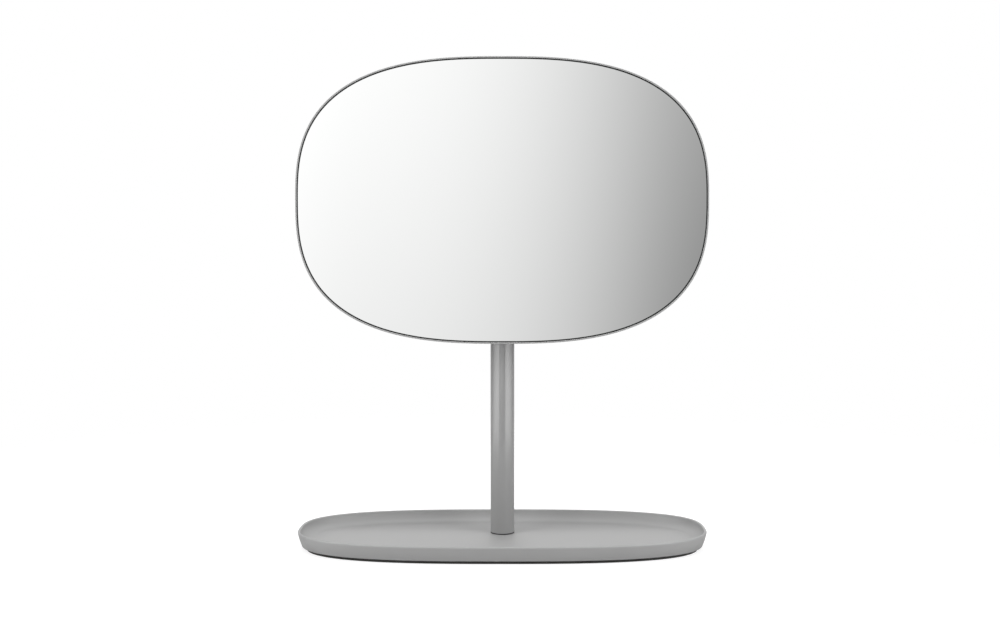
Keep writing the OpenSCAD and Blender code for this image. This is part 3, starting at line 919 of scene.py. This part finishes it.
def area_lamp(name, place, width, height, brightness):
    """Flat lamp that looks at the object and lights its matt share. Its power is brightness times pi times
    its area, and what shiny surfaces see in its place is in the surroundings."""
    light = bpy.data.lights.new(name, "AREA")
    light.shape = "RECTANGLE"
    light.size = width
    light.size_y = height
    light.energy = brightness * math.pi * width * height
    lamp = bpy.data.objects.new(name, light)
    lamp.location = place
    lamp.rotation_euler = (Vector(place) - AIM).to_track_quat("Z", "Y").to_euler()
    lamp.visible_camera = False
    lamp.visible_glossy = False
    bpy.context.scene.collection.objects.link(lamp)


class TABLE_MIRROR_OT_stage(bpy.types.Operator):
    """Make the camera, the lamps, the floor and the surroundings"""

    bl_idname = "table_mirror.stage"
    bl_label = "Stage"
    floor_rings = 24

    def camera(self, stage):
        """Camera in front of the stem, whose lens and shift come from pixels of the picture."""
        data = bpy.data.cameras.new("camera")
        data.sensor_width = SENSOR
        data.lens = SENSOR * stage.focal / PICTURE[0]
        data.shift_x = (PICTURE[0] / 2 - stage.axis_x) / PICTURE[0]
        data.shift_y = (stage.axis_y - PICTURE[1] / 2) / PICTURE[0]
        data.clip_start = 10 * MM
        camera = bpy.data.objects.new("camera", data)
        camera.location = (stage.camera_x, STEM_MIDDLE.y - stage.camera_back, stage.camera_z)
        camera.rotation_euler = (math.radians(90 - stage.pitch), 0, 0)
        bpy.context.scene.collection.objects.link(camera)
        bpy.context.scene.camera = camera

    def lamps(self, stage):
        for name, place, width, height, brightness in LAMPS:
            area_lamp(name, place, width, height, getattr(stage, brightness))

    def floor(self, stage):
        """Flat round floor that fades out towards its edge. For the camera it is white, less a share of the
        object's shadow. In reflections its white is dimmer and it fades out sooner. The light that it throws
        back is that of a plain pale floor."""
        reaches = np.linspace(0, stage.floor_radius, self.floor_rings)
        rings = turned([(r, ENDLESS, -FLOOR_GAP) for r in reaches], TURNED_AROUND)
        mesh = add_mesh("floor", rings.reshape(-1, 3), quads(len(rings), TURNED_AROUND))
        made = bpy.data.materials.new("floor")
        made.use_nodes = True
        board = Board(made.node_tree)
        glossy = board.node("LightPath", output="Is Glossy Ray")
        shown = board.node("LightPath", output="Is Camera Ray").math("MAXIMUM", glossy)
        tone = board.spread(glossy, 0, 1, stage.floor_white, stage.floor_tone)
        pale = board.node("BsdfDiffuse", None, {"Color": shade(stage.floor_colour)})
        white = board.node("Emission", None, {"Color": shade((1, 1, 1)), "Strength": tone})
        lit = board.node("BsdfDiffuse", None, {"Color": shade((1, 1, 1))})
        reach = board.node("VectorMath", {"operation": "LENGTH"}, {0: board.place()}, "Value")
        surface = board.mix(shown, pale, board.mix(stage.shadow, white, lit))
        clear = board.node("BsdfTransparent")
        seen_reach = reach * (1 + glossy * (FLOOR_NEARER - 1))
        faded = board.spread(seen_reach, stage.floor_fade, stage.floor_radius)
        board.finish(board.mix(faded, surface, clear))
        mesh.materials.append(made)
        floor = bpy.data.objects.new("floor", mesh)
        bpy.context.scene.collection.objects.link(floor)

    def surroundings(self, stage):
        """White for the camera and one plain tone for matt surfaces. Shiny surfaces see tones that add up: in
        front light - dark (1 + tanh((angle - turn) / soft)) / 2, a little lighter with height, then a wide
        band on either side, the back and what is overhead. The angle runs round +Z, from the front to the
        right."""
        world = bpy.data.worlds.new("surroundings")
        world.use_nodes = True
        bpy.context.scene.world = world
        board = Board(world.node_tree)
        way = board.node("TexCoord", output="Generated")
        across, depth, up = (board.node("SeparateXYZ", None, {0: way}, axis) for axis in "XYZ")
        angle = across.math("ARCTAN2", 0 - depth)
        apart = angle.math("ABSOLUTE")
        change = ((angle - stage.front_turn) / stage.front_soft).math("TANH") * 0.5 + 0.5
        dark = change * board.spread(angle, *FRONT_DARK_ENDS, stage.front_dark, 0)
        lift = RISE_SHARE * stage.front_rise
        rise = board.spread(up, -RISE_REACH, RISE_REACH, -lift, lift)
        tone = (stage.front_light - dark + rise).math("MAXIMUM", 0) * board.spread(apart, *FRONT_ENDS, 1, 0)
        tone = tone * board.spread(up, *FRONT_LOW) * board.spread(up, *FRONT_HIGH, 1, 0)
        begins, ends = ([part * stage.side_turn for part in parts] for parts in (BAND_BEGINS, BAND_ENDS))
        band = board.spread(apart, *begins) * board.spread(apart, *ends, 1, 0)
        low = board.spread(up, *BAND_LOW, 1, 0)
        high = board.spread(up, *BAND_HIGH)
        left = 1 - low * (1 - stage.side_low) - high * (1 - stage.side_high)
        tone = tone + stage.side_tone * band * left
        tone = tone + stage.back_tone * board.spread(apart, *BACK_BEGINS)
        tone = tone + stage.top_tone * board.spread(up, *TOP_BEGINS)
        white = shade((1, 1, 1))
        seen = board.node("Background", None, {"Color": white, "Strength": tone})
        plain = board.node("Background", None, {"Color": white, "Strength": stage.ambient})
        blank = board.node("Background", None, {"Color": white, "Strength": 1.0})
        glossy = board.node("LightPath", output="Is Glossy Ray")
        camera = board.node("LightPath", output="Is Camera Ray")
        board.finish(board.mix(camera, board.mix(glossy, plain, seen), blank), "OutputWorld")

    def execute(self, context):
        stage = context.scene.table_mirror_stage
        self.camera(stage)
        self.lamps(stage)
        self.floor(stage)
        self.surroundings(stage)
        context.scene.view_settings.view_transform = "Standard"
        return {"FINISHED"}


GROUPS = {
    "table_mirror_tray": TableMirrorTray,
    "table_mirror_head": TableMirrorHead,
    "table_mirror_fasteners": TableMirrorFasteners,
    "table_mirror_finish": TableMirrorFinish,
    "table_mirror_stage": TableMirrorStage,
}
OPERATORS = (
    TABLE_MIRROR_OT_stage,
    TABLE_MIRROR_OT_tray,
    TABLE_MIRROR_OT_foot,
    TABLE_MIRROR_OT_stem,
    TABLE_MIRROR_OT_glass,
    TABLE_MIRROR_OT_shell,
    TABLE_MIRROR_OT_hinge,
)


class VIEW3D_PT_table_mirror(bpy.types.Panel):
    """Lists the sizes, the finishes and what can be made"""

    bl_label = "Table mirror"
    bl_idname = "VIEW3D_PT_table_mirror"
    bl_space_type = "VIEW_3D"
    bl_region_type = "UI"
    bl_category = "Mirror"

    def draw(self, context):
        for name, group in GROUPS.items():
            box = self.layout.box()
            box.label(text=name.replace("table_mirror_", "").capitalize())
            for field in group.__annotations__:
                box.prop(getattr(context.scene, name), field)
        for operator in OPERATORS:
            self.layout.operator(operator.bl_idname)


def register():
    for kind in (*GROUPS.values(), *OPERATORS, VIEW3D_PT_table_mirror):
        bpy.utils.register_class(kind)
    for name, group in GROUPS.items():
        setattr(bpy.types.Scene, name, PointerProperty(type=group))


def unregister():
    for name in GROUPS:
        delattr(bpy.types.Scene, name)
    for kind in (VIEW3D_PT_table_mirror, *reversed(OPERATORS), *reversed(GROUPS.values())):
        bpy.utils.unregister_class(kind)


def main():
    """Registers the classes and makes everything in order."""
    register()
    for operator in OPERATORS:
        family, name = operator.bl_idname.split(".")
        getattr(getattr(bpy.ops, family), name)()


if __name__ == "__main__":
    main()
